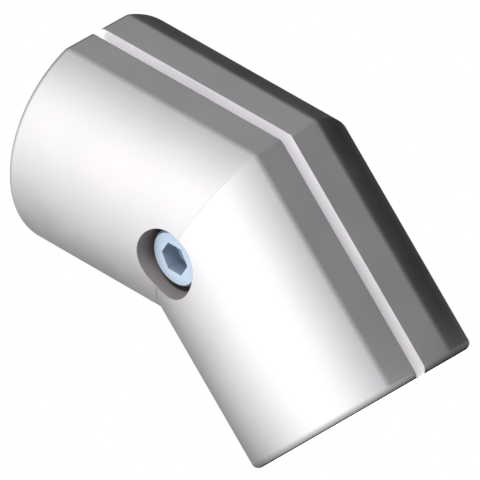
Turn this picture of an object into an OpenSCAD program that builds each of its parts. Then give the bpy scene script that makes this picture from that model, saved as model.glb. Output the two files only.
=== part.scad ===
// Butt fastener: two half shells that clamp two round tubes end to end at a bend.
// The shells are parted in the plane of the bend, and one cap screw with a nut draws them together.
// Origin: centre of the lower socket's mouth. +Z runs up into that socket, the screw's head looks
// along -Y, and the upper socket leans towards -X.

/* [Tubes] */
// Outer diameter of both tubes
tube_d = 30; // [28:0.5:36]
// Added to the tube's diameter for a socket, with the shells at their rest gap
tube_clearance = 0.1; // [0.05:0.05:0.2]
// Length of tube that each socket takes in
socket_depth = 26; // [20:0.5:60]
// Angle by which the upper tube leans away from the line of the lower tube
bend_angle = 45; // [30:5:90]

/* [Shells] */
// Wall of the shells round the tubes
shell_wall = 5; // [4:0.5:8]
// Gap between the shells at rest, which closes as they clamp
parting_gap = 2; // [1:0.1:3]
// Width of the flat along the outside of the bend
flat_w = 13.8; // [8:0.2:18]
// Radius that blends the flat into the round flanks
flat_blend_r = 3; // [1:0.5:5]
// Rounding of the outer edges round each mouth
mouth_round_r = 1.2; // [0.6:0.1:2]
// Lead-in chamfer inside each mouth
lead_in = 0.5; // [0.2:0.1:1]
// Width of the shoulder that stops each tube
shoulder_w = 2.5; // [1:0.5:3]
// Free length between a shoulder and the screw boss
boss_space = 0.8; // [0.4:0.1:5]
// Wall of the screw boss round the counterbore
boss_wall = 3; // [2:0.5:4]

/* [Clamp screw] */
// Nominal diameter of the thread
screw_d = 6; // [5:0.5:7]
// Length under the head
screw_len = 30; // [26:1:31]
// Diameter of the head
head_d = 10; // [9:0.5:10.5]
// Height of the head
head_h = 6; // [5:0.5:7]
// Chamfer round the top of the head
head_chamfer = 0.4; // [0.2:0.1:0.8]
// Depth of the head's face below the flank
head_sink = 2.5; // [1:0.5:4]
// Width across the flats of the hex socket
key_w = 5; // [4:0.5:5.5]
// Depth of the hex socket
key_depth = 3; // [2:0.5:4]
// Land left round the drill point at the bottom of the hex socket
key_drill_land = 0.2; // [0.1:0.05:0.4]
// Chamfer at the end of the thread
tip_chamfer = 0.8; // [0.4:0.1:1.2]
// Radial clearance of the screw in the shells' holes
hole_clearance = 0.3; // [0.2:0.05:0.5]
// Radial clearance between the crests of the thread and the nut
thread_clearance = 0.05; // [0.02:0.01:0.1]

/* [Washer and nut] */
// Outer diameter of the washer
washer_d = 11; // [10.5:0.5:12]
// Thickness of the washer
washer_t = 1.6; // [1:0.2:2]
// Chamfer round the washer's upper edge
washer_chamfer = 0.3; // [0.1:0.1:0.5]
// Radial clearance of the washer round the screw
washer_bore_clearance = 0.2; // [0.1:0.05:0.3]
// Radial clearance of the counterbore round the washer
counterbore_clearance = 0.5; // [0.2:0.1:1]
// Width across the flats of the nut
nut_w = 10; // [9:0.5:10.5]
// Height of the nut
nut_h = 5.2; // [4:0.2:6]
// Countersink at both ends of the nut's thread
nut_countersink = 0.4; // [0.2:0.1:0.6]
// Clearance between each flat of the nut and its pocket
pocket_clearance = 0.1; // [0.05:0.05:0.3]
// Length of thread that stands out past the nut
thread_past_nut = 1.8; // [1:0.2:3]

/* [Register pegs] */
// Diameter of the pegs that keep the shells in line
peg_d = 3; // [2:0.2:3.6]
// Length of peg that lies inside the other shell at rest
peg_reach = 3.5; // [2:0.5:4]
// Radial clearance of a peg in its hole
peg_clearance = 0.1; // [0.05:0.05:0.2]
// Free depth past a peg's end when the shells meet
peg_end_space = 0.5; // [0.2:0.1:1]
// Chamfer round a peg's end
peg_chamfer = 0.4; // [0.2:0.1:0.8]

/* [Hidden] */
$fn = 96;

shell_r = tube_d / 2 + shell_wall;
socket_r = (tube_d + tube_clearance) / 2;
core_r = socket_r - shoulder_w;
flat_x = sqrt(shell_r * shell_r - flat_w * flat_w / 4);

screw_r = screw_d / 2;
hole_r = screw_r + hole_clearance;
counterbore_r = washer_d / 2 + counterbore_clearance;
boss_r = counterbore_r + boss_wall;
bend_z = socket_depth + boss_space + boss_r;

// Places along the screw's axis, measured from the parting plane
head_face_y = head_sink - shell_r;
washer_y = head_face_y + head_h;
washer_seat_y = washer_y + washer_t;
screw_tip_y = washer_y + screw_len;
nut_seat_y = screw_tip_y - thread_past_nut - nut_h;
boss_root_y = (core_r + sqrt(shell_r * shell_r - boss_r * boss_r)) / 2;

peg_ring_r = (hole_r + boss_r) / 2;
peg_hole_depth = peg_reach + parting_gap + peg_end_space;

far_side = 1;
near_side = -1;
reach = 4 * shell_r + 2 * bend_z;
cut = 1;

// The region left of x = edge and above y = 0, with its corner rounded
module rounded_foot(edge, r) {
    translate([edge, 0]) difference() {
        translate([-reach, 0]) square(reach);
        difference() {
            translate([-r, -cut]) square(r + cut);
            translate([-r, r]) circle(r);
        }
    }
}

// Section of a leg: a circle with a flat at x = flat_x and a blend at each end of the flat
module leg_section() {
    blend_x = flat_x - flat_blend_r;
    blend_y = sqrt(pow(shell_r - flat_blend_r, 2) - blend_x * blend_x);
    lean = atan2(blend_y, blend_x);
    difference() {
        intersection() {
            circle(shell_r);
            translate([flat_x, 0]) translate([-reach, -reach / 2]) square(reach);
        }
        for (s = [-1, 1]) {
            translate([flat_x, s * blend_y]) translate([-flat_blend_r, 0]) difference() {
                polygon([
                    [0, 0],
                    [2 * flat_blend_r, 0],
                    [2 * flat_blend_r, s * 2 * flat_blend_r * tan(lean)]
                ]);
                circle(flat_blend_r);
            }
        }
    }
}

// One half of a leg, long enough to pass the bend, with its mouth edges rounded
module leg_half(side) {
    intersection() {
        linear_extrude(height = bend_z + shell_r) leg_section();
        rotate_extrude() intersection() {
            rounded_foot(shell_r, mouth_round_r);
            square([shell_r, bend_z + shell_r]);
        }
        translate([0, shell_r, 0]) rotate([90, 0, 0]) {
            linear_extrude(height = 2 * shell_r) rounded_foot(flat_x, mouth_round_r);
        }
        translate([-shell_r, 0, 0]) rotate([90, 0, 90]) {
            linear_extrude(height = 2 * shell_r) {
                mirror([side == far_side ? 1 : 0, 0]) rounded_foot(-parting_gap / 2, mouth_round_r);
            }
        }
    }
}

// Room for a tube, the shoulder that stops it and the lighter core behind
module leg_hollow() {
    translate([0, 0, -cut]) cylinder(r = socket_r, h = socket_depth + cut);
    cylinder(r1 = socket_r + lead_in, r2 = socket_r, h = lead_in);
    cylinder(r = core_r, h = bend_z + shell_r);
}

// Tilts what is drawn about the mitre plane, which is level there, to its place on the part
module about_mitre() {
    translate([0, 0, bend_z]) rotate([0, -bend_angle / 2, 0]) children();
}

// The lower leg up to the mitre plane, and its mirror image above it
module both_legs() {
    about_mitre() for (m = [0, 1]) mirror([0, 0, m]) intersection() {
        rotate([0, bend_angle / 2, 0]) translate([0, 0, -bend_z]) children();
        translate([-reach / 2, -reach / 2, -reach]) cube(reach);
    }
}

// Puts a shape that was drawn along +Z onto the screw's axis, pointing along +Y from the height y
module on_screw_axis(y, turn = 0) {
    translate([0, y, bend_z]) rotate([-90, 0, 0]) rotate([0, 0, turn]) children();
}

// Repeats a shape at both register pegs, which stand in the mitre plane
module at_pegs(y) {
    for (s = [-1, 1]) {
        on_screw_axis(y, -bend_angle / 2) translate([s * peg_ring_r, 0, 0]) children();
    }
}

module half_shell(side) {
    difference() {
        both_legs() leg_half(side);
        difference() {
            both_legs() leg_hollow();
            on_screw_axis(-boss_root_y) cylinder(r = boss_r, h = 2 * boss_root_y);
        }
        on_screw_axis(-shell_r) cylinder(r = hole_r, h = 2 * shell_r);
    }
}

module screw_side_shell() {
    color([0.86, 0.86, 0.87]) difference() {
        half_shell(near_side);
        on_screw_axis(-shell_r - cut) cylinder(r = counterbore_r, h = washer_seat_y + shell_r + cut);
        at_pegs(-parting_gap / 2 - peg_hole_depth) {
            cylinder(d = peg_d + 2 * peg_clearance, h = peg_hole_depth + cut);
        }
    }
}

module nut_side_shell() {
    color([0.72, 0.72, 0.74]) {
        difference() {
            half_shell(far_side);
            on_screw_axis(nut_seat_y, 30 - bend_angle / 2) {
                linear_extrude(height = shell_r) hexagon(nut_w + 2 * pocket_clearance);
            }
        }
        at_pegs(-parting_gap / 2 - peg_reach) rotate_extrude() polygon([
            [0, 0],
            [peg_d / 2 - peg_chamfer, 0],
            [peg_d / 2, peg_chamfer],
            [peg_d / 2, peg_reach + parting_gap + cut],
            [0, peg_reach + parting_gap + cut]
        ]);
    }
}

// A regular hexagon given by its width across the flats
module hexagon(w) {
    circle(r = w / 2 / cos(30), $fn = 6);
}

module clamp_screw() {
    shank_r = screw_r - thread_clearance;
    drill_r = key_w / 2 - key_drill_land;
    color([0.77, 0.85, 0.95]) on_screw_axis(head_face_y, -90 - bend_angle) difference() {
        rotate_extrude() polygon([
            [0, 0],
            [head_d / 2 - head_chamfer, 0],
            [head_d / 2, head_chamfer],
            [head_d / 2, head_h],
            [shank_r, head_h],
            [shank_r, head_h + screw_len - tip_chamfer],
            [shank_r - tip_chamfer, head_h + screw_len],
            [0, head_h + screw_len]
        ]);
        translate([0, 0, -cut]) linear_extrude(height = key_depth + cut) hexagon(key_w);
        translate([0, 0, key_depth]) cylinder(r1 = drill_r, r2 = 0, h = drill_r * tan(30));
    }
}

module screw_washer() {
    color([0.80, 0.82, 0.84]) on_screw_axis(washer_y) rotate_extrude() polygon([
        [screw_r + washer_bore_clearance, 0],
        [washer_d / 2 - washer_chamfer, 0],
        [washer_d / 2, washer_chamfer],
        [washer_d / 2, washer_t],
        [screw_r + washer_bore_clearance, washer_t]
    ]);
}

module clamp_nut() {
    corner_r = nut_w / 2 / cos(30);
    bevel = (corner_r - nut_w / 2) * tan(30);
    color([0.80, 0.82, 0.84]) on_screw_axis(nut_seat_y, 30 - bend_angle / 2) difference() {
        intersection() {
            linear_extrude(height = nut_h) hexagon(nut_w);
            rotate_extrude() polygon([
                [0, 0],
                [nut_w / 2, 0],
                [corner_r, bevel],
                [corner_r, nut_h - bevel],
                [nut_w / 2, nut_h],
                [0, nut_h]
            ]);
        }
        rotate_extrude() polygon([
            [0, 0],
            [screw_r + nut_countersink, 0],
            [screw_r, nut_countersink],
            [screw_r, nut_h - nut_countersink],
            [screw_r + nut_countersink, nut_h],
            [0, nut_h]
        ]);
    }
}

screw_side_shell();
nut_side_shell();
clamp_screw();
screw_washer();
clamp_nut();
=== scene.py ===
# %% [markdown]
# # A clamped tube bend in cast aluminium
#
# Two half shells hold the ends of two round tubes at a bend. One cap screw goes across both and
# pulls them together on a nut. This lesson starts from the exact CAD model of the part, and gives
# it its studio, its fine geometry and its finishes.
#
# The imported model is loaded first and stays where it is: everything below is built around it.

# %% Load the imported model
import math
from functools import partial

import bmesh
import bpy
from mathutils import Matrix, Vector


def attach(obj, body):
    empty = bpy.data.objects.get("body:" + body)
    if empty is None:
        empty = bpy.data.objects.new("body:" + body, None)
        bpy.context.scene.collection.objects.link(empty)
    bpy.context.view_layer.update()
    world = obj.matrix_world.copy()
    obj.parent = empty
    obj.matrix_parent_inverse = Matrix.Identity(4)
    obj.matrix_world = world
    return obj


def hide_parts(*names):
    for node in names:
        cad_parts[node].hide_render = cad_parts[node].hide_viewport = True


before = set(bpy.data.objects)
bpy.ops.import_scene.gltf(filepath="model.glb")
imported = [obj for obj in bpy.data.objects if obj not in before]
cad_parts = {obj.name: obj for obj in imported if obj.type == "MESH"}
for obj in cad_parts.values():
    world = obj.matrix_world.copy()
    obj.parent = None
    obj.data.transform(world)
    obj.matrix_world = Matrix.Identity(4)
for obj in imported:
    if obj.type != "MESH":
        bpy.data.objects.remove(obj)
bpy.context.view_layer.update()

MM = 0.001
print("CAD nodes:", ", ".join(sorted(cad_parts)))

# %% [markdown]
# ## The camera
#
# The picture to match is a drawing-like view: edges that are parallel on the part stay parallel in
# it. An orthographic camera would do that, but a very long lens far away looks the same and still
# frames every other view of the part correctly. The camera stands almost on the floor, so the
# floor is seen edge on, and it is rolled to lean the part the way the picture does.

# %% Camera
CAMERA_PLACE = Vector((2787.17, -1974.55, 2.0)) * MM
CAMERA_YAW, CAMERA_PITCH, CAMERA_ROLL = -35.2533, -0.525, -29.995
LENS_MM, SENSOR_MM = 1600, 36
NEAREST_SEEN, FURTHEST_SEEN = 0.1, 20


def camera_turn(yaw, pitch, roll):
    """The camera's rotation, from the direction it stands in, its height angle and its roll."""
    yaw, pitch, roll = (math.radians(a) for a in (yaw, pitch, roll))
    to_camera = Vector(
        (math.cos(pitch) * math.cos(yaw), math.cos(pitch) * math.sin(yaw), math.sin(pitch))
    )
    level = Vector((0, 0, 1)).cross(to_camera).normalized()
    upright = to_camera.cross(level)
    right = math.cos(roll) * level + math.sin(roll) * upright
    up = math.cos(roll) * upright - math.sin(roll) * level
    return Matrix((right, up, to_camera)).transposed()


camera_data = bpy.data.cameras.new("long_lens")
camera_data.lens = LENS_MM
camera_data.sensor_width = SENSOR_MM
camera_data.clip_start, camera_data.clip_end = NEAREST_SEEN, FURTHEST_SEEN
camera = bpy.data.objects.new("long_lens", camera_data)
camera.matrix_world = Matrix.Translation(CAMERA_PLACE) @ camera_turn(
    CAMERA_YAW, CAMERA_PITCH, CAMERA_ROLL
).to_4x4()
bpy.context.scene.collection.objects.link(camera)
bpy.context.scene.camera = camera
bpy.context.scene.view_settings.view_transform = "Standard"
print("camera stands", round(CAMERA_PLACE.length, 2), "m away")

# %% [markdown]
# ## Small helpers
#
# Node trees can be drawn by hand in the editor or written out node by node. Both get long, so `put`
# adds a node and fills its inputs in one line, `maths`, `vectors` and `scaled` add one sum each, and
# `ramp` goes from one value to another. `group_with` starts a group with named sockets. A tree then
# reads much like the formula that it is.

# %% Helpers for node trees
def put(tree, kind, inputs=None, **settings):
    """Adds a node, sets its options and fills inputs with values or with other nodes' outputs."""
    node = tree.nodes.new(kind)
    for name, value in settings.items():
        setattr(node, name, value)
    for key, value in (inputs or {}).items():
        if isinstance(value, bpy.types.NodeSocket):
            tree.links.new(value, node.inputs[key])
        else:
            node.inputs[key].default_value = value
    return node


def maths(tree, operation, *values, clamp=False):
    """One Math node; returns its output."""
    inputs = dict(enumerate(values))
    return put(tree, "ShaderNodeMath", inputs, operation=operation, use_clamp=clamp).outputs[0]


def vectors(tree, operation, *values):
    """One Vector Math node; returns a number for a length or a product, otherwise a vector."""
    node = put(tree, "ShaderNodeVectorMath", dict(enumerate(values)), operation=operation)
    is_number = operation in ("DOT_PRODUCT", "LENGTH", "DISTANCE")
    return node.outputs["Value" if is_number else "Vector"]


def scaled(tree, vector, factor):
    """A vector or a colour times a number."""
    inputs = {0: vector, "Scale": factor}
    return put(tree, "ShaderNodeVectorMath", inputs, operation="SCALE").outputs[0]


def ramp(tree, value, start, end, low, high, shape="LINEAR"):
    """A number that goes from low to high while the value goes from start to end."""
    inputs = {0: value, 1: start, 2: end, 3: low, 4: high}
    return put(tree, "ShaderNodeMapRange", inputs, interpolation_type=shape).outputs[0]


def object_place(tree):
    """Where the point is, in the coordinates of its own piece."""
    return put(tree, "ShaderNodeTexCoord").outputs["Object"]


def empty_tree(owner):
    """The cleared node tree of a material or a world."""
    owner.use_nodes = True
    owner.node_tree.nodes.clear()
    return owner.node_tree


SOCKETS = {float: "NodeSocketFloat", int: "NodeSocketInt", type(None): "NodeSocketMaterial"}


def group_with(kind, name, inputs, outputs, output_socket="NodeSocketFloat"):
    """A new node group whose inputs are labels with defaults, and whose outputs are labels.

    Returns the tree, its input node and its output node. A default of None makes a material input.
    """
    tree = bpy.data.node_groups.new(name, kind)
    for label, default in inputs.items():
        made = tree.interface.new_socket(label, in_out="INPUT", socket_type=SOCKETS[type(default)])
        if default is not None:
            made.default_value = default
    for label in outputs:
        tree.interface.new_socket(label, in_out="OUTPUT", socket_type=output_socket)
    return tree, tree.nodes.new("NodeGroupInput"), tree.nodes.new("NodeGroupOutput")


print("helpers for node trees ready")

# %% [markdown]
# A mesh built in code is a bag of faces until it has normals. `piece` turns them outwards, smooths
# the curved faces and keeps real corners sharp by their angle, so every piece gets the same care.

# %% Helper for a finished piece
SHARP_FROM = math.radians(30)


def piece(name, bm):
    """A finished mesh object from a bmesh: faces outwards, edges sharp from an angle on."""
    bmesh.ops.recalc_face_normals(bm, faces=bm.faces)
    for face in bm.faces:
        face.smooth = True
    for edge in bm.edges:
        edge.smooth = edge.calc_face_angle(0) < SHARP_FROM
    mesh = bpy.data.meshes.new(name)
    bm.to_mesh(mesh)
    bm.free()
    made = bpy.data.objects.new(name, mesh)
    bpy.context.scene.collection.objects.link(made)
    return made


print("every piece will stand at the origin, with its place in its mesh")

# %% [markdown]
# ## The studio
#
# Metal has hardly any colour of its own: what it shows is the room. A photographer stands a satin
# metal part in a light tent that is bright on one side and dark on the other, so that each face
# gets its own grey. Here the tent is a sphere round the part that only reflections can see. Its
# light falls off evenly from the bright side to the dark one.

# %% The light tent
PART_CENTRE = Vector((-10, 0, 37)) * MM
TENT_RADIUS = 0.9
DARK_SIDE_LIGHT = 0.004
TENT_GLOWS = (  # direction, tightness, strength
    ((0.348, -0.917, 0.179), 2.2, 0.927),  # the whole bright side
    ((0.166, -0.981, 0.098), 3, 0.363),  # and its middle
    ((0.340, -0.751, 0.566), 15.9, 0.459),  # a soft panel up in front
    ((0.351, 0.100, 0.932), 14, 0.203),  # one overhead
    ((-0.905, -0.302, 0.302), 8, 0.289),  # one low on the left
    ((0.0, 0.577, 0.8165), 50, 0.137),  # a weak one that lifts the upper leg's flat
    ((0.8165, 0.5774, 0.0), 15, 0.068),  # and one for the lower leg's
    ((-0.600, 0.500, -0.625), 22, 0.7),  # a card on the floor behind, for the far side
)


def soft_glow(tree, way, glow, rest):
    """Light that is strongest in one direction and falls off evenly all round, added to the rest."""
    towards, tightness, strength = glow
    facing = vectors(tree, "DOT_PRODUCT", way, towards)
    half = maths(tree, "MULTIPLY_ADD", facing, 0.5, 0.5, clamp=True)
    return maths(tree, "MULTIPLY_ADD", maths(tree, "POWER", half, tightness), strength, rest)


def tent_light(tree):
    """Emission strength of the tent as seen from the part's middle, in any direction."""
    away = vectors(tree, "SUBTRACT", object_place(tree), PART_CENTRE)
    way = vectors(tree, "NORMALIZE", away)
    total = DARK_SIDE_LIGHT
    for glow in TENT_GLOWS:
        total = soft_glow(tree, way, glow, total)
    return total


tent_cloth = bpy.data.materials.new("tent_cloth")
tree = empty_tree(tent_cloth)
tent_cloth.cycles.emission_sampling = "NONE"
glow = put(tree, "ShaderNodeEmission", {"Strength": tent_light(tree)})
put(tree, "ShaderNodeOutputMaterial", {"Surface": glow.outputs[0]})

bm = bmesh.new()
bmesh.ops.create_icosphere(bm, subdivisions=5, radius=TENT_RADIUS)
bmesh.ops.translate(bm, verts=bm.verts, vec=PART_CENTRE)
tent = piece("light_tent", bm)
tent.data.materials.append(tent_cloth)
tent.visible_camera = tent.visible_diffuse = tent.visible_shadow = False
tent.visible_transmission = False
print("tent:", len(TENT_GLOWS), "soft glows on cloth", TENT_RADIUS, "m away")

# %% [markdown]
# The floor is a matt white sheet. A camera would see it grey wherever the lamps are weak, so it
# adds a little light of its own for the camera only, and it keeps the part's shadow. In reflections
# it is not lit but painted: it carries on the tent's light, so no horizon line shows in the metal.
# Close to the foot that painted light fades to black under the part, a painted shadow, and beside
# the foot it has a painted glow of its own; that painted shade is what rolls the shade round the
# lower rim. From below it is clear to the camera, so the underside of the part can be looked at.

# %% The floor's painted reflection in the metal
FOOT_R, FOOT_FLAT_X = 20 * MM, 18.8 * MM
FOOT_GLOW = (0.55, -0.835, 0), 5.6, 1.02
FOOT_REST = 0.16
# The painted shadow in the floor's reflection is black up to this far inside the foot's outline, and
# half as dark this much further out
SHADE_START, SHADE_REACH = 0.95 * MM, 1.1 * MM
# Near the foot the floor's reflection has a painted glow of its own, which gives way to the tent's
# between these
FOOT_LIGHT_R, TENT_LIGHT_R = 24 * MM, 80 * MM


def painted_floor_reflection(tree):
    """Emission strength of the floor in reflections, painted: painted shade under the part, a painted
    glow near it, the tent's own far out.
    """
    place = object_place(tree)
    from_axis = vectors(tree, "LENGTH", place)
    along_x = put(tree, "ShaderNodeSeparateXYZ", {0: place}).outputs["X"]
    past_round = maths(tree, "SUBTRACT", from_axis, FOOT_R)
    past_flat = maths(tree, "SUBTRACT", along_x, FOOT_FLAT_X)
    outside = maths(tree, "MAXIMUM", past_round, past_flat)
    reach = maths(tree, "MAXIMUM", maths(tree, "ADD", outside, SHADE_START), 0.0)
    shade = maths(tree, "DIVIDE", reach, maths(tree, "ADD", reach, SHADE_REACH))
    near = soft_glow(tree, vectors(tree, "NORMALIZE", place), FOOT_GLOW, FOOT_REST)
    far = ramp(tree, from_axis, FOOT_LIGHT_R, TENT_LIGHT_R, 0.0, 1.0, "SMOOTHSTEP")
    mixed = put(tree, "ShaderNodeMix", {0: far, 2: near, 3: tent_light(tree)}, data_type="FLOAT")
    return maths(tree, "MULTIPLY", mixed.outputs[0], shade)


# In reflections the floor round the foot is painted dark, a painted shadow under the part.
print("the foot stands on", FOOT_R / MM * 2, "mm of dark floor")

# %% [markdown]
# A real sheet throws a little light up into the lower socket. This one does it only inside the
# foot's circle and only for matt light, so the skin outside stays as the tent lights it.

# %% The floor sheet
FLOOR_HALF, FLOOR_DROP = 0.6, 0.02 * MM
FLOOR_WHITE = (0.9, 0.9, 0.9, 1)
FLOOR_OWN_LIGHT = 0.5
SOCKET_LIGHT, SOCKET_LIGHT_R, SOCKET_LIGHT_END = 0.4, 17.5 * MM, 19 * MM

floor_sheet = bpy.data.materials.new("floor_sheet")
tree = empty_tree(floor_sheet)
floor_sheet.cycles.emission_sampling = "NONE"
rays = put(tree, "ShaderNodeLightPath").outputs
matt = put(tree, "ShaderNodeBsdfDiffuse", {"Color": FLOOR_WHITE})
from_axis = vectors(tree, "LENGTH", object_place(tree))
upwards = ramp(tree, from_axis, SOCKET_LIGHT_R, SOCKET_LIGHT_END, SOCKET_LIGHT, 0.0)
glow = maths(tree, "MULTIPLY", upwards, rays["Is Diffuse Ray"])
glow = maths(tree, "MULTIPLY_ADD", rays["Is Camera Ray"], FLOOR_OWN_LIGHT, glow)
own = put(tree, "ShaderNodeEmission", {"Strength": glow})
seen = put(tree, "ShaderNodeAddShader", {0: matt.outputs[0], 1: own.outputs[0]}).outputs[0]
# Reflections see the painted floor: painted shade under the part and a painted glow beside it.
painted_reflection_in_metal = put(tree, "ShaderNodeEmission", {"Strength": painted_floor_reflection(tree)}).outputs[0]
chosen = put(tree, "ShaderNodeMixShader", {0: rays["Is Glossy Ray"], 1: seen, 2: painted_reflection_in_metal})
behind = put(tree, "ShaderNodeNewGeometry").outputs["Backfacing"]
clear = put(tree, "ShaderNodeBsdfTransparent")
from_below = maths(tree, "MULTIPLY", behind, rays["Is Camera Ray"])
sheet = put(tree, "ShaderNodeMixShader", {0: from_below, 1: chosen.outputs[0], 2: clear.outputs[0]})
put(tree, "ShaderNodeOutputMaterial", {"Surface": sheet.outputs[0]})

bm = bmesh.new()
bmesh.ops.create_grid(bm, x_segments=1, y_segments=1, size=FLOOR_HALF)
bmesh.ops.translate(bm, verts=bm.verts, vec=(0, 0, -FLOOR_DROP))
floor = piece("floor", bm)
floor.data.materials.append(floor_sheet)
print("floor:", 2 * FLOOR_HALF, "m wide")

# %% [markdown]
# The room round the tent is white. A world of strength 1 would flood the part with light from
# everywhere and flatten it, so the full white is only for the camera, for reflections and for
# what is seen through glass. The part itself gets a lower level from it.

# %% The white room
ROOM_LIGHT = 0.45
world = bpy.data.worlds.new("white_room")
bpy.context.scene.world = world
tree = empty_tree(world)
rays = put(tree, "ShaderNodeLightPath")
shown = maths(tree, "ADD", rays.outputs["Is Camera Ray"], rays.outputs["Is Glossy Ray"])
shown = maths(tree, "ADD", shown, rays.outputs["Is Transmission Ray"], clamp=True)
level = maths(tree, "MULTIPLY_ADD", shown, 1 - ROOM_LIGHT, ROOM_LIGHT)
back = put(tree, "ShaderNodeBackground", {"Color": (1, 1, 1, 1), "Strength": level})
put(tree, "ShaderNodeOutputWorld", {"Surface": back.outputs[0]})
print("room light on the part:", ROOM_LIGHT)

# %% [markdown]
# Cut faces, deep holes and the floor are more matt than the skin, so they need real lamps. Three
# large soft ones do it: one in front of the screw, one that looks into the parting gap, and a weak
# one behind. None of them shows in the metal, where the tent alone gives the shine.

# %% The lamps
LAMP_SIZE = 0.4


def soft_lamp(name, place, power):
    """A square soft lamp that looks at the part's middle."""
    light = bpy.data.lights.new(name, "AREA")
    light.size = LAMP_SIZE
    light.energy = power
    lamp = bpy.data.objects.new(name, light)
    lamp.location = place
    lamp.rotation_euler = (PART_CENTRE - Vector(place)).to_track_quat("-Z", "Y").to_euler()
    lamp.visible_glossy = False
    bpy.context.scene.collection.objects.link(lamp)
    return lamp


lamps = [
    soft_lamp("key_lamp", (-0.45, -1.0, 0.4), 11),
    soft_lamp("slot_lamp", (0.9, -0.46, 0.82), 22),
    soft_lamp("back_lamp", (0.2, 1.1, 0.0), 8),
]
print("lamps:", ", ".join(f"{lamp.name} {lamp.data.energy:.0f} W" for lamp in lamps))

# %% [markdown]
# ## The ridged bar
#
# A rolled thread and a straight knurl are the same thing: ridges that wind round a bar. One start
# and a short pitch make a thread, and many starts that don't wind at all make a knurl. One Geometry
# Nodes tree rolls a flat grid into a bar, and raises each point to the height of the ridge there.
# Its ends can be drawn in to the axis, which closes the bar.

# %% Geometry Nodes: ridged bar
NECK_FADE = 1.6
SEAM_GAP = 2e-6


def ridged_bar_tree():
    """Grid rolled round the screw's axis, with wound ridges, chamfered ends and an optional neck."""
    inputs = {
        "Start": 0.0, "Length": 0.01, "Centre height": 0.0, "Crest radius": 0.003,
        "Root radius": 0.0025, "Starts": 1.0, "Turns": 10.0, "Crest share": 0.125,
        "Root share": 0.25, "Near chamfer": 0.0, "Far chamfer": 0.0, "Neck": 0.0,
        "Points round": 64, "Points along": 100, "Closed ends": 1.0, "Finish": None,
    }
    tree, given, result = group_with(
        "GeometryNodeTree", "ridged_bar", inputs, ["Bar"], "NodeSocketGeometry"
    )
    at = given.outputs
    sums = partial(maths, tree)
    grid = put(tree, "GeometryNodeMeshGrid", {
        "Size X": 1.0, "Size Y": 1.0,
        "Vertices X": at["Points round"], "Vertices Y": at["Points along"],
    })
    flat = put(tree, "ShaderNodeSeparateXYZ", {0: put(tree, "GeometryNodeInputPosition").outputs[0]})
    around = sums("ADD", flat.outputs["X"], 0.5)
    angle = sums("MULTIPLY", around, 2 * math.pi)
    last_row = sums("SUBTRACT", at["Points along"], 1.0)
    row = sums("MULTIPLY", sums("ADD", flat.outputs["Y"], 0.5), last_row)
    # The outermost rows repeat the ends of the bar, so that they can be drawn in to the axis
    rows_between = sums("SUBTRACT", at["Points along"], 3.0)
    share = sums("DIVIDE", sums("SUBTRACT", row, 1.0), rows_between, clamp=True)
    along = sums("MULTIPLY", share, at["Length"])
    left = sums("SUBTRACT", at["Length"], along)

    wound = sums("ADD", sums("MULTIPLY", share, at["Turns"]), sums("MULTIPLY", around, at["Starts"]))
    wave = sums("ABSOLUTE", sums("MULTIPLY_ADD", sums("FRACT", wound), 2.0, -1.0))
    crest, root = at["Crest radius"], at["Root radius"]
    ridge = ramp(tree, wave, at["Root share"], sums("SUBTRACT", 1.0, at["Crest share"]), root, crest)
    neck_end = sums("MULTIPLY_ADD", at["Neck"], NECK_FADE, 1e-6)
    necked = ramp(tree, along, at["Neck"], neck_end, crest, root, "SMOOTHSTEP")
    radius = sums("MAXIMUM", ridge, necked)
    near_cone = sums("ADD", sums("SUBTRACT", crest, at["Near chamfer"]), along)
    far_cone = sums("ADD", sums("SUBTRACT", crest, at["Far chamfer"]), left)
    radius = sums("MINIMUM", radius, sums("MINIMUM", near_cone, far_cone))
    first = sums("LESS_THAN", row, 0.5)
    last = sums("GREATER_THAN", row, sums("SUBTRACT", at["Points along"], 1.5))
    drawn_in = sums("MULTIPLY", sums("ADD", first, last), at["Closed ends"])
    radius = sums("MULTIPLY", radius, sums("SUBTRACT", 1.0, drawn_in))

    spot = put(tree, "ShaderNodeCombineXYZ", {
        "X": sums("MULTIPLY", radius, sums("COSINE", angle)),
        "Y": sums("ADD", at["Start"], along),
        "Z": sums("MULTIPLY_ADD", radius, sums("SINE", angle), at["Centre height"]),
    }).outputs[0]
    rolled = put(tree, "GeometryNodeSetPosition", {"Geometry": grid.outputs[0], "Position": spot})
    seamless = {"Geometry": rolled.outputs[0], "Distance": SEAM_GAP}
    joined = put(tree, "GeometryNodeMergeByDistance", seamless)
    real = put(tree, "GeometryNodeRealizeInstances", {"Geometry": joined.outputs[0]})
    finish = {"Geometry": real.outputs[0], "Material": at["Finish"]}
    finished = put(tree, "GeometryNodeSetMaterial", finish)
    tree.links.new(finished.outputs[0], result.inputs[0])
    return tree


ridged_bar = ridged_bar_tree()
print("ridged bar:", len(ridged_bar.nodes), "nodes")

# %% [markdown]
# A tree does nothing until an object carries it. `bar_mesh` gives it to an empty carrier, sets its
# inputs by their sockets, and keeps the result as a plain mesh. The carrier is then thrown away, so
# no modifier is left for the export to trip over.

# %% Running the tree
def evaluated_mesh(owner):
    """An object with its modifiers, as a plain mesh."""
    depsgraph = bpy.context.evaluated_depsgraph_get()
    return bpy.data.meshes.new_from_object(owner.evaluated_get(depsgraph))


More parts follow.
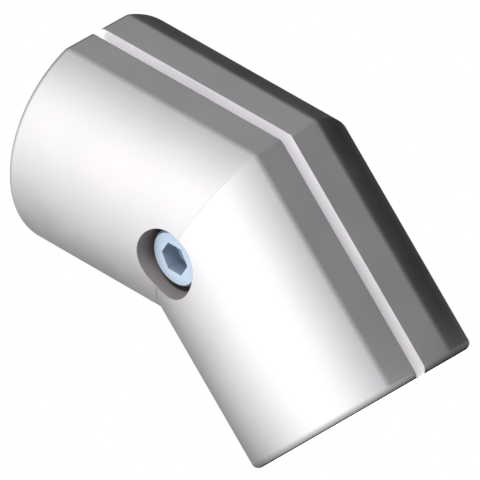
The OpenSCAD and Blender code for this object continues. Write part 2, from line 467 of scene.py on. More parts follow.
def bar_mesh(finish, **sizes):
    """Runs the tree once with these sizes and returns the result as a plain mesh."""
    carrier = bpy.data.objects.new("bar_carrier", bpy.data.meshes.new("bar_carrier"))
    bpy.context.scene.collection.objects.link(carrier)
    modifier = carrier.modifiers.new("ridged_bar", "NODES")
    modifier.node_group = ridged_bar
    sockets = {s.name: s.identifier for s in ridged_bar.interface.items_tree if s.in_out == "INPUT"}
    modifier[sockets["Finish"]] = finish
    for label, value in sizes.items():
        modifier[sockets[label.replace("_", " ").capitalize()]] = value
    bpy.context.view_layer.update()
    mesh = evaluated_mesh(carrier)
    carrier.modifiers.remove(modifier)
    bpy.data.objects.remove(carrier)
    return mesh


print("inputs:", ", ".join(s.name for s in ridged_bar.interface.items_tree if s.in_out == "INPUT"))

# %% [markdown]
# ## Finishes
#
# A blasted casting has no lines in it: its shine is softened by a field of tiny dents, and broad
# faint clouds show where the blasting took a little more. Both come from noise on the part's own
# coordinates, so they stay put when the part turns.

# %% Shader group: blasted grain
def grain_group():
    """Fine dents for a bump, and broad clouds for the tone and the shine."""
    inputs = {"Grain size mm": 0.22, "Cloud size mm": 9.0}
    tree, given, result = group_with("ShaderNodeTree", "blast_grain", inputs, ["Height", "Cloud"])
    place = object_place(tree)
    fine = maths(tree, "DIVIDE", 1 / MM, given.outputs["Grain size mm"])
    broad = maths(tree, "DIVIDE", 1 / MM, given.outputs["Cloud size mm"])
    for label, scale, detail, roughness in (("Height", fine, 3.0, 0.65), ("Cloud", broad, 4.0, 0.55)):
        shape = {"Vector": place, "Scale": scale, "Detail": detail, "Roughness": roughness}
        noise = put(tree, "ShaderNodeTexNoise", shape)
        tree.links.new(noise.outputs[0], result.inputs[label])
    return tree


blast_grain = grain_group()
print("blast grain:", len(blast_grain.nodes), "nodes")

# %% [markdown]
# A cutter leaves lines a feed apart, never quite even. The group turns one distance, measured
# across those lines, into their height. What that distance is depends on the cut: along the leg in
# a bored socket, along and out from the screw's axis in a counterbore, and from the centre of the
# cutter's sweep on a milled face.

# %% Shader group: tool marks
def tool_marks_group():
    """Uneven parallel lines from a distance across them."""
    inputs = {"Across mm": 0.0, "Feed mm": 0.15}
    tree, given, result = group_with("ShaderNodeTree", "tool_marks", inputs, ["Height"])
    turns = maths(tree, "DIVIDE", given.outputs["Across mm"], given.outputs["Feed mm"])
    wave = maths(tree, "SINE", maths(tree, "MULTIPLY", turns, 2 * math.pi))
    even = maths(tree, "MULTIPLY_ADD", wave, 0.2, 0.2)
    shape = {"W": turns, "Scale": 0.8, "Detail": 3.0, "Roughness": 0.7}
    uneven = put(tree, "ShaderNodeTexNoise", shape, noise_dimensions="1D")
    tree.links.new(maths(tree, "ADD", even, uneven.outputs[0]), result.inputs["Height"])
    return tree


tool_marks = tool_marks_group()
print("tool marks:", len(tool_marks.nodes), "nodes")

# %% [markdown]
# Hands, tubes and packing polish the outer edges first. The Bevel node looks round each point for
# an edge nearby, and where it finds one its normal leans away from the surface's own. That lean is
# the mask for rubbed edges.

# %% Shader group: rubbed edges
OPEN_FACE, FULL_RUB = 0.99, 0.8  # how well the looked-round normal agrees with the surface's own


def rubbed_edges_group():
    """A mask that is 1 on edges and 0 on open faces."""
    tree, given, result = group_with("ShaderNodeTree", "rubbed_edges", {"Reach mm": 0.4}, ["Rub"])
    reach = maths(tree, "MULTIPLY", given.outputs["Reach mm"], MM)
    looked = put(tree, "ShaderNodeBevel", {"Radius": reach}, samples=4).outputs[0]
    own = put(tree, "ShaderNodeNewGeometry").outputs["Normal"]
    same = vectors(tree, "DOT_PRODUCT", looked, own)
    tree.links.new(ramp(tree, same, OPEN_FACE, FULL_RUB, 0.0, 1.0), result.inputs["Rub"])
    return tree


rubbed_edges = rubbed_edges_group()
print("rubbed edges:", len(rubbed_edges.nodes), "nodes")

# %% [markdown]
# Tool marks need a distance to run across, and each machined face has its own. A boring bar feeds
# along the leg, a counterbore's cutter along the screw, and the big cutter that skims the parting
# faces sweeps round a point outside the part. All three are measured from the bend's centre, where
# the two legs' axes and the screw's meet.

# %% Distances across the tool marks
BEND_Z = 35.8 * MM
LEAN = math.radians(45)
UPPER_AXIS = (-math.sin(LEAN), 0, math.cos(LEAN))
CUTTER_CENTRE = (38, 0, -22)
WITHOUT_Y = (1, 0, 1)


def place_mm(tree):
    """The point's place in millimetres, with the bend's centre at zero."""
    return scaled(tree, vectors(tree, "SUBTRACT", object_place(tree), (0, 0, BEND_Z)), 1 / MM)


def along_leg(tree):
    """Distance from the bend along whichever leg the point is in."""
    place = place_mm(tree)
    lower = vectors(tree, "DOT_PRODUCT", place, (0, 0, -1))
    upper = vectors(tree, "DOT_PRODUCT", place, UPPER_AXIS)
    return maths(tree, "MAXIMUM", lower, upper)


def about_screw(tree):
    """Distance along the screw's axis plus the distance out from it."""
    place = place_mm(tree)
    out = vectors(tree, "LENGTH", vectors(tree, "MULTIPLY", place, WITHOUT_Y))
    along = put(tree, "ShaderNodeSeparateXYZ", {0: place}).outputs["Y"]
    return maths(tree, "ADD", along, out)


def cutter_sweep(tree):
    """Distance from the middle of the big cutter that skimmed the parting faces."""
    flat = vectors(tree, "MULTIPLY", place_mm(tree), WITHOUT_Y)
    return vectors(tree, "DISTANCE", flat, CUTTER_CENTRE)


print("bend centre at", BEND_Z / MM, "mm, upper leg leans", round(math.degrees(LEAN)), "degrees")

# %% [markdown]
# A finish could be one flat metal with one roughness, and it would look like plastic foil. Every
# finish here is built the same way instead: clouds move its tone and its roughness a little, rubbed
# edges are smoother and lighter, and a bump holds the dents or the tool marks.

# %% One recipe for every metal
CLOUD_ROUGHNESS, CLOUD_TONE = 0.12, 0.05
RUB_ROUGHNESS, RUB_TONE = -0.12, 0.06
DENTS_BESIDE_MARKS = 0.3
BUMP_DEPTH = 0.03 * MM


def metal(
    name, colour, roughness, metallic=1.0, grain_mm=0.22, dents=0.2, marks=None, feed_mm=0.2, rub=0.0
):
    """A metal finish.

    marks is a function that measures across the cutter's lines, or None where there are none.
    """
    made = bpy.data.materials.new(name)
    tree = empty_tree(made)
    grain = put(tree, "ShaderNodeGroup", {"Grain size mm": grain_mm}, node_tree=blast_grain)
    height, cloud = grain.outputs["Height"], grain.outputs["Cloud"]
    if marks:
        inputs = {"Across mm": marks(tree), "Feed mm": feed_mm}
        lines = put(tree, "ShaderNodeGroup", inputs, node_tree=tool_marks)
        height = maths(tree, "MULTIPLY_ADD", height, DENTS_BESIDE_MARKS, lines.outputs["Height"])
    worn = put(tree, "ShaderNodeGroup", node_tree=rubbed_edges).outputs["Rub"] if rub else 0.0
    worn = maths(tree, "MULTIPLY", worn, rub)
    rough = maths(tree, "MULTIPLY_ADD", cloud, CLOUD_ROUGHNESS, roughness - CLOUD_ROUGHNESS / 2)
    rough = maths(tree, "MULTIPLY_ADD", worn, RUB_ROUGHNESS, rough)
    cloudy = maths(tree, "MULTIPLY_ADD", cloud, 2 * CLOUD_TONE, 1 - CLOUD_TONE)
    tint = scaled(tree, colour, maths(tree, "MULTIPLY_ADD", worn, RUB_TONE, cloudy))
    bump = {"Height": height, "Strength": dents, "Distance": BUMP_DEPTH}
    surface = put(tree, "ShaderNodeBump", bump).outputs[0]
    skin = put(tree, "ShaderNodeBsdfPrincipled", {
        "Base Color": tint, "Roughness": rough, "Normal": surface, "Metallic": metallic,
    })
    put(tree, "ShaderNodeOutputMaterial", {"Surface": skin.outputs[0]})
    return made


print("recipe for metals ready")

# %% [markdown]
# The skin is blasted and bright. Its parting faces and mouths are milled, the sockets bored and the
# screw's counterbore drilled and left dull; the drilled finish's dark colour is painted shade, which
# goes on the counterbore, the holes, the nut's pocket and the pegs. Where no tool reached, the cast
# face stays rough. The screw, washer and nut are zinc plated, which looks bluish beside aluminium, and
# the plate in the key's socket is darker, as painted shade there. Milled and drilled faces are given
# a low metallic value, because their fine tool marks scatter light as a matt face does, and the
# plating lies between those and the bare metal.

# %% The seven finishes
blasted = metal("blasted_aluminium", (0.905, 0.88, 0.91), 0.38, rub=1.0)
milled = metal(
    "milled_aluminium", (0.80, 0.785, 0.805), 0.5,
    metallic=0.2, dents=0.35, marks=cutter_sweep, feed_mm=0.35,
)
bored = metal("bored_aluminium", (0.78, 0.77, 0.78), 0.4, dents=0.4, marks=along_leg, feed_mm=0.22)
# The dark base colour here is painted shade for the bores, the nut's pocket and the pegs.
drilled_painted_shade = metal(
    "drilled_aluminium_painted_shade", (0.18, 0.164, 0.16), 0.5,
    metallic=0.35, dents=0.4, marks=about_screw, feed_mm=0.18,
)
cast_inside = metal("cast_aluminium", (0.62, 0.61, 0.62), 0.6, grain_mm=0.5, dents=0.5)
plated = metal(
    "zinc_plate", (0.67, 0.81, 0.99), 0.34, metallic=0.8, grain_mm=0.12, dents=0.08, rub=0.6
)
# The dark base colour here is painted shade for the key's socket.
socket_plate_painted_shade = metal(
    "zinc_plate_painted_shade", (0.325, 0.40, 0.49), 0.5, metallic=0.65, grain_mm=0.12, dents=0.1
)
CASTING_FINISHES = (blasted, milled, bored, drilled_painted_shade, cast_inside)
BLASTED, MILLED, BORED, DRILLED_PAINTED_SHADE, CAST = range(len(CASTING_FINISHES))
print("finishes:", ", ".join(made.name for made in CASTING_FINISHES + (plated, socket_plate_painted_shade)))

# %% [markdown]
# ## The hardware
#
# The screw, the washer and the nut share one axis, across the bend. All three are made of rings of
# points round that axis, with faces between neighbouring rings. A lathe-like Spin would do for the
# round ones, but rings whose radius is a function of the angle make the hexagons too, and keep the
# same number of points all the way, so no seam or pole is left open.

# %% Sizes on the screw's axis and rings round it
HEAD_FACE, HEAD_UNDER, TIP = (y * MM for y in (-17.5, -11.5, 18.5))
ROUND = 288


def ring(bm, y, radius, centre=(0, BEND_Z), count=ROUND, first=0.0):
    """A ring of vertices round the screw's axis or a line beside it.

    y and radius are numbers or functions of the angle.
    """
    verts = []
    for i in range(count):
        angle = first + 2 * math.pi * i / count
        r = radius(angle) if callable(radius) else radius
        height = y(angle) if callable(y) else y
        x, z = centre[0] + r * math.cos(angle), centre[1] + r * math.sin(angle)
        verts.append(bm.verts.new((x, height, z)))
    return verts


def skin_rings(bm, rings, closed=False, finish=0):
    """Faces between neighbouring rings, and from the last to the first where closed."""
    pairs = list(zip(rings, rings[1:])) + ([(rings[-1], rings[0])] if closed else [])
    for a, b in pairs:
        for i in range(len(a)):
            j = (i + 1) % len(a)
            bm.faces.new((a[i], a[j], b[j], b[i])).material_index = finish


def cap_ring(bm, verts, y, centre=(0, BEND_Z), finish=0):
    """Closes a ring with a fan of triangles."""
    middle = bm.verts.new((centre[0], y, centre[1]))
    for i in range(len(verts)):
        bm.faces.new((verts[i], verts[(i + 1) % len(verts)], middle)).material_index = finish


def hexagon(across_flats, vertex_angle):
    """Radius of a hexagon as a function of the angle."""
    sixth = math.pi / 3
    return lambda angle: across_flats / 2 / math.cos((angle - vertex_angle) % sixth - sixth / 2)


print("head from", HEAD_FACE / MM, "to", HEAD_UNDER / MM, "mm, tip at", TIP / MM, "mm")

# %% [markdown]
# ## The cap screw
#
# An M6 cap screw, 30 mm long under its head. The side of its head is knurled, which is easy to miss
# because it sits in a counterbore, and its thread has a short plain neck under the head. Both come
# from the ridged bar: 72 straight ridges for the knurl, and one wound ridge with a pitch of 1 mm for
# the thread.

# %% Knurled side and thread
HEAD_R, HEAD_CHAMFER, UNDER_CHAMFER = 5 * MM, 0.4 * MM, 0.25 * MM
KNURLS, KNURL_DEPTH = 72.0, 0.16 * MM
SHANK_R, THREAD_ROOT, PITCH = 2.95 * MM, 2.387 * MM, 1 * MM
INTO_HEAD, NECK, TIP_CHAMFER = 0.5 * MM, 2.2 * MM, 0.8 * MM
THREAD_LENGTH = TIP - HEAD_UNDER + INTO_HEAD

side = bar_mesh(
    plated, start=HEAD_FACE, length=HEAD_UNDER - HEAD_FACE, centre_height=BEND_Z, crest_radius=HEAD_R,
    root_radius=HEAD_R - KNURL_DEPTH, starts=KNURLS, turns=0.0, crest_share=0.3, root_share=0.1,
    near_chamfer=HEAD_CHAMFER, far_chamfer=UNDER_CHAMFER, points_round=ROUND + 1, points_along=34,
    closed_ends=0.0,
)
thread = bar_mesh(
    plated, start=HEAD_UNDER - INTO_HEAD, length=THREAD_LENGTH, centre_height=BEND_Z,
    crest_radius=SHANK_R, root_radius=THREAD_ROOT, starts=1.0, turns=THREAD_LENGTH / PITCH,
    far_chamfer=TIP_CHAMFER, neck=NECK, points_round=65, points_along=430, closed_ends=1.0,
)
print("knurl:", len(side.polygons), "faces; thread:", len(thread.polygons), "faces")

# %% [markdown]
# The face of the head has a hexagon socket for the key, with a small chamfer round it and the cone
# that the drill left at its bottom. A Boolean could cut it, and would leave long thin triangles on
# the face. Rings that change from round to hexagonal give clean faces. The socket's faces take the
# second finish, a darker and rougher plate whose dark colour is painted shade in the socket.

# %% The head's face and the whole screw
KEY, KEY_DEPTH, KEY_LAND = 5 * MM, 3 * MM, 0.2 * MM
KEY_VERTEX = math.radians(135)
KEY_CHAMFER, KEY_CHAMFER_DEPTH = 0.05 * MM, 0.06 * MM
DRILL_SLOPE = math.tan(math.radians(30))
UNDER_RING_R = 1.5 * MM
RING_GAP = 3e-6

bm = bmesh.new()
bm.from_mesh(side)
key_hex = hexagon(KEY, KEY_VERTEX)
land_r = KEY / 2 - KEY_LAND
face_rings = [
    ring(bm, HEAD_FACE, HEAD_R - HEAD_CHAMFER),
    ring(bm, HEAD_FACE, lambda a: key_hex(a) + KEY_CHAMFER),
    ring(bm, HEAD_FACE + KEY_CHAMFER_DEPTH, key_hex),
    ring(bm, HEAD_FACE + KEY_DEPTH, key_hex),
    ring(bm, HEAD_FACE + KEY_DEPTH, land_r),
]
skin_rings(bm, face_rings[:2])
# The socket's faces take the second finish, the plate with painted shade.
skin_rings(bm, face_rings[1:], finish=1)
cap_ring(bm, face_rings[-1], HEAD_FACE + KEY_DEPTH + land_r * DRILL_SLOPE, finish=1)
under = [ring(bm, HEAD_UNDER, HEAD_R - UNDER_CHAMFER), ring(bm, HEAD_UNDER, UNDER_RING_R)]
skin_rings(bm, under)
cap_ring(bm, under[-1], HEAD_UNDER)
bmesh.ops.remove_doubles(bm, verts=bm.verts, dist=RING_GAP)
bm.from_mesh(thread)
print("open edges in the screw:", sum(not e.is_manifold for e in bm.edges), "faces:", len(bm.faces))
screw = piece("cap_screw", bm)
screw.data.materials.append(plated)
screw.data.materials.append(socket_plate_painted_shade)
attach(screw, "screw")
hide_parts("clamp_screw")

# %% [markdown]
# ## The washer
#
# A plain washer spreads the head's pull over the soft aluminium. It is stamped, so one edge is
# rolled over by the punch and the other is nearly sharp. That is a profile of ten points, carried
# round the axis and closed on itself.

# %% The washer
WASHER_R, WASHER_BORE = 5.5 * MM, 3.2 * MM
washer_profile = [  # radius, and distance from the head in millimetres
    (WASHER_BORE, 0.12), (WASHER_BORE + 0.12 * MM, 0.01),
    (WASHER_R - 0.32 * MM, 0.01), (WASHER_R - 0.12 * MM, 0.06), (WASHER_R - 0.03 * MM, 0.18),
    (WASHER_R, 0.4), (WASHER_R, 1.5), (WASHER_R - 0.1 * MM, 1.6),
    (WASHER_BORE + 0.1 * MM, 1.6), (WASHER_BORE, 1.5),
]
bm = bmesh.new()
skin_rings(bm, [ring(bm, HEAD_UNDER + y * MM, r) for r, y in washer_profile], closed=True)
washer = piece("flat_washer", bm)
washer.data.materials.append(plated)
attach(washer, "screw_half")
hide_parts("screw_washer")
print("washer:", round(2 * WASHER_R / MM, 1), "mm across,", len(washer.data.polygons), "faces")

# %% [markdown]
# ## The nut
#
# A hexagon nut has both its faces turned to a 30 degree cone, which cuts the corners down in curves.
# A bevel can't make those curves. Here each point of the outer ring drops the more, the further it
# stands outside the turned circle, and the curves follow by themselves.

# %% The nut
NUT_LOW, NUT_HIGH, NUT_AF, NUT_BORE = 11.5 * MM, 16.7 * MM, 10 * MM, 3 * MM
NUT_VERTEX = math.radians(-7.5)
NUT_LEAD_IN, NUT_FACE_R = 0.4 * MM, NUT_AF / 2 - 0.03 * MM
CORNER_SLOPE, CORNER_DROP = math.tan(math.radians(30)), 0.02 * MM
nut_hex = hexagon(NUT_AF, NUT_VERTEX)


def corner_line(from_face, sign):
    """Height of the outer line at each angle, with the corners turned down to a 30 degree cone."""
    return lambda angle: from_face + sign * (
        (nut_hex(angle) - NUT_AF / 2) * CORNER_SLOPE + CORNER_DROP
    )


bm = bmesh.new()
nut_rings = [
    ring(bm, NUT_LOW, NUT_BORE + NUT_LEAD_IN), ring(bm, NUT_LOW, NUT_FACE_R),
    ring(bm, corner_line(NUT_LOW, 1), nut_hex), ring(bm, corner_line(NUT_HIGH, -1), nut_hex),
    ring(bm, NUT_HIGH, NUT_FACE_R), ring(bm, NUT_HIGH, NUT_BORE + NUT_LEAD_IN),
    ring(bm, NUT_HIGH - NUT_LEAD_IN, NUT_BORE), ring(bm, NUT_LOW + NUT_LEAD_IN, NUT_BORE),
]
skin_rings(bm, nut_rings, closed=True)
nut = piece("hex_nut", bm)
nut.data.materials.append(plated)
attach(nut, "nut_half")
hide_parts("clamp_nut")
print("nut:", round(NUT_AF / MM, 1), "mm across flats,", len(nut.data.polygons), "faces")

# %% [markdown]
# ## The half shells
#
# Every line along a leg runs straight from its mouth to the mitre plane, and the upper leg is the
# lower one mirrored in that plane. So one closed section, drawn again at a few heights, makes the
# whole casting, with the small radii that a real casting's edges have. Nothing needs a Boolean yet,
# so every face of the skin is a clean four-sided one.

# %% Sizes of the castings and the section of a leg
SHELL_R, FLAT_X, BLEND_R = 19.993 * MM, 18.772 * MM, 3 * MM
BLEND_X = FLAT_X - BLEND_R
BLEND_Y = math.sqrt((SHELL_R - BLEND_R) ** 2 - BLEND_X**2)
SOCKET_R, CORE_R, SOCKET_DEPTH = 15.05 * MM, 12.55 * MM, 26 * MM
MOUTH_ROUND, LEAD_IN, HALF_GAP, EDGE_R = 1.2 * MM, 0.5 * MM, 1 * MM, 0.12 * MM
MITRE = LEAN / 2
HOLE_R, COUNTERBORE_R, BOSS_R, BOSS_ROOT = 3.3 * MM, 6 * MM, 9 * MM, 15.2 * MM
PEG_R, PEG_HOLE_R, PEG_RING = 1.5 * MM, 1.6 * MM, 6.15 * MM
CREASE_DEPTH, CREASE_HALF_WIDTH = 0.11 * MM, 0.17 * MM
EDGE_STEPS, BLEND_STEPS, ROUND_STEPS, FLAT_STEPS = 4, 8, 110, 3


def arc(cx, cy, radius, start, end, steps):
    """Points on an arc, both ends included. Angles in degrees."""
    angles = [math.radians(start + (end - start) * i / steps) for i in range(steps + 1)]
    return [(cx + radius * math.cos(a), cy + radius * math.sin(a)) for a in angles]


def half_section(inset, inner_r):
    """The outline of half a leg: its outer line and its inner line."""
    r, flat, e = SHELL_R - inset, FLAT_X - inset, EDGE_R
    edge_y = HALF_GAP + e
    turn = math.degrees(math.atan2(BLEND_Y, BLEND_X))
    low_x = -math.sqrt((r - e) ** 2 - edge_y**2)
    low = math.degrees(math.atan2(edge_y, low_x))
    flat_height = BLEND_Y - HALF_GAP - e
    outer = arc(flat - e, edge_y, e, -90, 0, EDGE_STEPS)
    outer += [(flat, edge_y + flat_height * i / FLAT_STEPS) for i in range(1, FLAT_STEPS)]
    outer += arc(BLEND_X, BLEND_Y, BLEND_R - inset, 0, turn, BLEND_STEPS)
    outer += arc(0, 0, r, turn, low, ROUND_STEPS)[1:]
    outer += arc(low_x, edge_y, e, low, 270, EDGE_STEPS)[1:]

    edge_x = math.sqrt((inner_r + e) ** 2 - edge_y**2)
    lean = math.degrees(math.atan2(edge_y, edge_x))
    inner_steps = len(outer) - 2 * EDGE_STEPS - 2
    inner = arc(edge_x, edge_y, e, 270, 180 + lean, EDGE_STEPS)
    inner += arc(0, 0, inner_r, lean, 180 - lean, inner_steps)[1:]
    inner += arc(-edge_x, edge_y, e, -lean, -90, EDGE_STEPS)[1:]
    return outer, inner


section_line = half_section(0, SOCKET_R)
print("section:", len(section_line[0]), "points outside and", len(section_line[1]), "inside")

# %% [markdown]
# The rings stand close together where the shape changes: round the mouth, at the socket's shoulder
# and at the mitre, where a fine crease marks the line between the legs. Between those a few long
# faces are enough, because the leg is straight.

# %% Rings up the leg and over the mitre
BEND = Vector((0, 0, BEND_Z))
MITRE_NORMAL = Vector((-math.sin(MITRE), 0, math.cos(MITRE)))

# Heights in the lower leg, with the radius inside there
mouth_heights = (0, 0.04, 0.16, 0.34, 0.5, 0.7, 0.93, 1.2, 8, 17)
stations = [(z * MM, max(SOCKET_R, SOCKET_R + LEAD_IN - z * MM)) for z in mouth_heights]
stations += [
    (SOCKET_DEPTH, SOCKET_R),
    (SOCKET_DEPTH + 0.04 * MM, CORE_R + 0.15 * MM),
    (SOCKET_DEPTH + 0.19 * MM, CORE_R),
]

# Distances back from the mitre, with how far the crease draws the outer line in there
before_mitre = [(0.8 * MM, 0), (0.3 * MM, 0), (CREASE_HALF_WIDTH, 0), (0, CREASE_DEPTH)]


def mouth_inset(z):
    """How far the rounding draws the outer line in at a height above the mouth."""
    rise = max(MOUTH_ROUND - z, 0)
    return MOUTH_ROUND - math.sqrt(MOUTH_ROUND**2 - rise**2)


def past_mitre(point):
    """How far a point is above the mitre plane, or below it where negative."""
    return (point - BEND).dot(MITRE_NORMAL)


def mirrored(point):
    """The point on the upper leg that answers to one on the lower leg."""
    return point - 2 * past_mitre(point) * MITRE_NORMAL


def mirrored_if_above(point):
    """The point itself in the lower leg, or its answering point where it is above the mitre plane."""
    other = mirrored(point)
    return other if other.z < point.z else point


def leg_rings(side):
    """Rings of points up the lower leg to the mitre plane and on to the upper leg's mouth."""
    rings = []
    for z, inner_r in stations:
        outer, inner = half_section(mouth_inset(z), inner_r)
        rings.append([Vector((x, side * y, z)) for x, y in outer + inner[::-1]])
    for back, inset in before_mitre:
        outer, inner = half_section(inset, CORE_R)
        rings.append([
            Vector((x, side * y, BEND_Z + x * math.tan(MITRE) - back)) for x, y in outer + inner[::-1]
        ])
    return rings + [[mirrored(p) for p in points] for points in rings[-2::-1]]


print("rings:", len(leg_rings(1)), "with", len(leg_rings(1)[0]), "points each")

# %% [markdown]
# Each face gets its finish as it is made, from where it stands in the section: skin outside, milled
# on the mouths and on the parting face along the outside of the bend, and for the rest bored in
# the sockets and cast in the core between them.

# %% The half shell's body
def casting_body(side):
    """The half shell before its boss and bores."""
    bm = bmesh.new()
    rings = [[bm.verts.new(p) for p in points] for points in leg_rings(side)]
    around, half = len(rings[0]), len(rings[0]) // 2
    shoulder = len(stations) - 2
    for row, (a, b) in enumerate(zip(rings, rings[1:])):
        from_mouth = min(row, len(rings) - 2 - row)
        for i in range(around):
            j = (i + 1) % around
            face = bm.faces.new((a[i], a[j], b[j], b[i]))
            if i < half - 1:
                face.material_index = BLASTED
            elif i in (half - 1, around - 1):
                face.material_index = MILLED
            else:
                face.material_index = BORED if from_mouth < shoulder else CAST
    for end in (rings[0], rings[-1]):
        for i in range(half - 1):
            corners = end[i], end[i + 1], end[around - 2 - i], end[around - 1 - i]
            bm.faces.new(corners).material_index = MILLED
    return bm


print("finishes of a casting in order:", ", ".join(finish.name for finish in CASTING_FINISHES))

# %% [markdown]
# The boss round the screw, its hole and counterbore, the nut's pocket and the register pegs are
# turned or lofted solids. A counterbore that breaks out through a round skin leaves a saddle-shaped
# rim, and a bevel after the cut leaves spikes where the rim runs along the mitre. So the tool itself
# carries the rim's small rounding, and follows the skin up and down as it goes round.

# %% Turned tools and their rims
TOOL_POINTS, PEG_POINTS = 6 * 23, 6 * 9
TOOL_END = 21 * MM
RIM_BREAK = 0.12 * MM
# Steps out and down, in rim breaks
RIM_STEPS = ((0, 1), (0.1, 0.62), (0.32, 0.32), (0.62, 0.1), (1.6, -0.25))


def turned(rows, finish, centre=(0, BEND_Z), count=TOOL_POINTS):
    """A closed solid turned or lofted along the screw's axis, from (y, radius) rows, as its own mesh.

    An odd number of points to each sixth of a turn keeps the mitre plane off them, which the
    Boolean cuts need.
    """
    bm = bmesh.new()
    rings = [ring(bm, y, r, centre, count, NUT_VERTEX) for y, r in rows]
    skin_rings(bm, rings, finish=finish)
    cap_ring(bm, rings[0], rows[0][0], centre, finish)
    cap_ring(bm, rings[-1], rows[-1][0], centre, finish)
    return bm


def skin_height(radius, angle):
    """How far from the parting plane the skin is, at a place round the screw's axis."""
    place = Vector((radius * math.cos(angle), 0, BEND_Z + radius * math.sin(angle)))
    return math.sqrt(SHELL_R**2 - mirrored_if_above(place).x ** 2)


def rim_row(side, base, out, down):
    """One row of a rim's rounding: its height and its radius, both functions of the angle."""

    def radius(angle):
        return base(angle) + out * RIM_BREAK

    def height(angle):
        return side * (skin_height(radius(angle), angle) - down * RIM_BREAK)

    return height, radius


def rim_rows(side, radius):
    """Rows that end a bore at the skin with a small rounding that follows the rim up and down."""
    base = radius if callable(radius) else lambda angle: radius
    rows = [rim_row(side, base, out, down) for out, down in RIM_STEPS]
    return rows + [(side * TOOL_END, rows[-1][1])]


print("rim rounding:", RIM_BREAK / MM, "mm in", len(RIM_STEPS), "rows")

# %% [markdown]
# Exact Booleans join or cut these solids. Each is turned to a plain mesh at once, so no modifier is
# left on the piece.

# %% Joining and cutting
def joined(parts):
    """Several solids as one mesh."""
    whole = bmesh.new()
    for part in parts:
        mesh = bpy.data.meshes.new("part")
        part.to_mesh(mesh)
        part.free()
        whole.from_mesh(mesh)
        bpy.data.meshes.remove(mesh)
    return whole


def worked(body, tool, operation):
    """The body after a Boolean with the tool, which is used up."""
    modifier = body.modifiers.new(operation.lower(), "BOOLEAN")
    modifier.operation, modifier.solver, modifier.object = operation, "EXACT", tool
    mesh = evaluated_mesh(body)
    body.modifiers.remove(modifier)
    body.data = mesh
    bpy.data.objects.remove(tool)
    return body


print("cuts are exact and applied at once")

# %% [markdown]
# A cut splits the faces round it, and smooth shading then averages normals over long thin pieces,
# which shows as streaks in a shiny skin. The skin's true direction is known at every point: it is
# straight out from the leg's axis, or from the blend's, or square to the flat. These exact normals
# are written over the averaged ones, except in the roundings, where the averaged ones are right.

# %% Exact normals for the skin
CREASE_ZONE = 0.35 * MM
JUST_OVER = 1.01
NEARLY_RIGHT = math.cos(math.radians(20))


def skin_normal(point):
    """The exact direction that a leg's skin faces at a point, or None near a mouth or the crease."""
    away = past_mitre(point)
    local = mirrored(point) if away > 0 else point
    near_edge = abs(local.y) < HALF_GAP + JUST_OVER * EDGE_R
    if near_edge or abs(away) < CREASE_ZONE or local.z < MOUTH_ROUND * JUST_OVER:
        return None
    if local.x > BLEND_X and abs(local.y) < BLEND_Y:
        facing = Vector((1, 0, 0))
    elif math.atan2(abs(local.y), local.x) < math.atan2(BLEND_Y, BLEND_X):
        out = Vector((local.x - BLEND_X, local.y - math.copysign(BLEND_Y, local.y), 0))
        facing = out.normalized()
    else:
        facing = Vector((local.x, local.y, 0)).normalized()
    return facing - 2 * facing.dot(MITRE_NORMAL) * MITRE_NORMAL if away > 0 else facing


def true_skin_normals(mesh):
    """Gives the skin's corners the exact normals, so that the cuts in it leave no mark in its shine."""
    normals = [Vector(n.vector) for n in mesh.corner_normals]
    changed = 0
    for polygon in mesh.polygons:
        if polygon.material_index != BLASTED:
            continue
        for corner in polygon.loop_indices:
            exact = skin_normal(mesh.vertices[mesh.loops[corner].vertex_index].co)
            if exact and exact.dot(normals[corner]) > NEARLY_RIGHT:
                normals[corner] = exact
                changed += 1
    mesh.normals_split_custom_set(normals)
    print("exact normals at", changed, "corners")


print("normals are exact from", CREASE_ZONE / MM, "mm off the crease")

# %% [markdown]
# Both castings come from one function. The screw's side gets the counterbore and two holes for the
# pegs, and the nut's side gets the hexagon pocket, which keeps the nut from turning, and the pegs.

# %% One casting
BOSS_EDGE = ((0, 0.25), (0.08, 0.08), (0.25, 0))  # up and in, in millimetres
WELD_GAP = 0.012 * MM
LARGE_FACES_LEAD = 80


def peg_centres():
    """Where the two register pegs stand, either side of the screw along the mitre."""
    along, up = PEG_RING * math.cos(MITRE), PEG_RING * math.sin(MITRE)
    return [(s * along, BEND_Z + s * up) for s in (-1, 1)]


def solid(label, bm):
    """A finished mesh that can carry all the finishes of a casting."""
    made = piece(label, bm)
    for finish in CASTING_FINISHES:
        made.data.materials.append(finish)
    return made


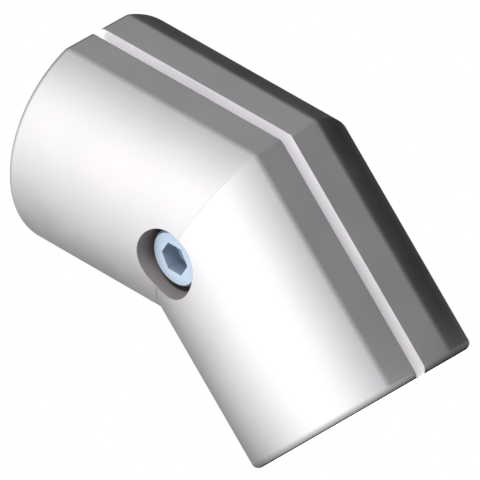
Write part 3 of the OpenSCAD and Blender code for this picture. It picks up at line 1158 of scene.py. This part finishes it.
def casting(name, side, bore_rows, peg_rows, peg_work):
    """One finished half shell with its boss and bore, and with its pegs joined on or cut out."""
    body = solid(name, casting_body(side))
    boss_rows = [(side * (HALF_GAP + up * MM), BOSS_R - cut * MM) for up, cut in BOSS_EDGE]
    boss = turned(boss_rows + [(side * BOSS_ROOT, BOSS_R)], CAST)
    body = worked(body, solid("boss", boss), "UNION")
    pegs = [turned(peg_rows, DRILLED_PAINTED_SHADE, centre, PEG_POINTS) for centre in peg_centres()]
    body = worked(body, solid("pegs", joined(pegs)), peg_work)
    body = worked(body, solid("bore", turned(bore_rows, DRILLED_PAINTED_SHADE)), "DIFFERENCE")

    bm = bmesh.new()
    bm.from_mesh(body.data)
    bpy.data.objects.remove(body)
    bmesh.ops.remove_doubles(bm, verts=bm.verts, dist=WELD_GAP)
    bmesh.ops.holes_fill(bm, edges=[e for e in bm.edges if e.is_boundary], sides=4)
    print(name, "open edges:", sum(not e.is_manifold for e in bm.edges))
    made = solid(name, bm)
    weighted = made.modifiers.new("weighted", "WEIGHTED_NORMAL")
    weighted.keep_sharp, weighted.weight = True, LARGE_FACES_LEAD
    mesh = evaluated_mesh(made)
    made.modifiers.remove(weighted)
    made.data = mesh
    true_skin_normals(mesh)
    print(name, "faces:", len(mesh.polygons))
    return made


print("pegs at mm:", [tuple(round(v / MM, 2) for v in c) for c in peg_centres()])

# %% [markdown]
# The bores are given as rows of height and radius, starting in the parting gap. Each hole has a
# small chamfer where it meets the parting face. The nut's pocket is 0.1 mm wider than the nut on
# every side, and so are the peg holes round their pegs.

# %% The two castings
WASHER_SEAT, NUT_SEAT = 9.9 * MM, NUT_LOW
POCKET_AF = 10.2 * MM
HOLE_CHAMFER, PEG_HOLE_CHAMFER, PEG_CHAMFER = 0.25 * MM, 0.15 * MM, 0.4 * MM
PEG_HOLE_DEPTH, PEG_END, PEG_FOOT = 7.0 * MM, -4.5 * MM, 2.0 * MM


def hole_rows(side, depth, radius=HOLE_R, chamfer=HOLE_CHAMFER):
    """Rows of a round hole from the gap into a half, with a chamfer at the parting face."""
    return [
        (side * HALF_GAP / 2, radius + chamfer), (side * HALF_GAP, radius + chamfer),
        (side * (HALF_GAP + chamfer), radius), (side * depth, radius),
    ]


counterbore = [(-WASHER_SEAT, COUNTERBORE_R)] + rim_rows(-1, COUNTERBORE_R)
peg_holes = hole_rows(-1, PEG_HOLE_DEPTH, PEG_HOLE_R, PEG_HOLE_CHAMFER)
screw_side = casting(
    "screw_side_casting", -1, hole_rows(-1, WASHER_SEAT) + counterbore, peg_holes, "DIFFERENCE"
)

pocket_hexagon = hexagon(POCKET_AF, NUT_VERTEX)
pocket = [(NUT_SEAT, pocket_hexagon)] + rim_rows(1, pocket_hexagon)
pegs = [(PEG_END, PEG_R - PEG_CHAMFER), (PEG_END + PEG_CHAMFER, PEG_R), (PEG_FOOT, PEG_R)]
nut_side = casting("nut_side_casting", 1, hole_rows(1, NUT_SEAT) + pocket, pegs, "UNION")
shells = (
    (screw_side, "screw_half", "screw_side_shell"),
    (nut_side, "nut_half", "nut_side_shell"),
)
for shell, body, node in shells:
    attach(shell, body)
    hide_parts(node)
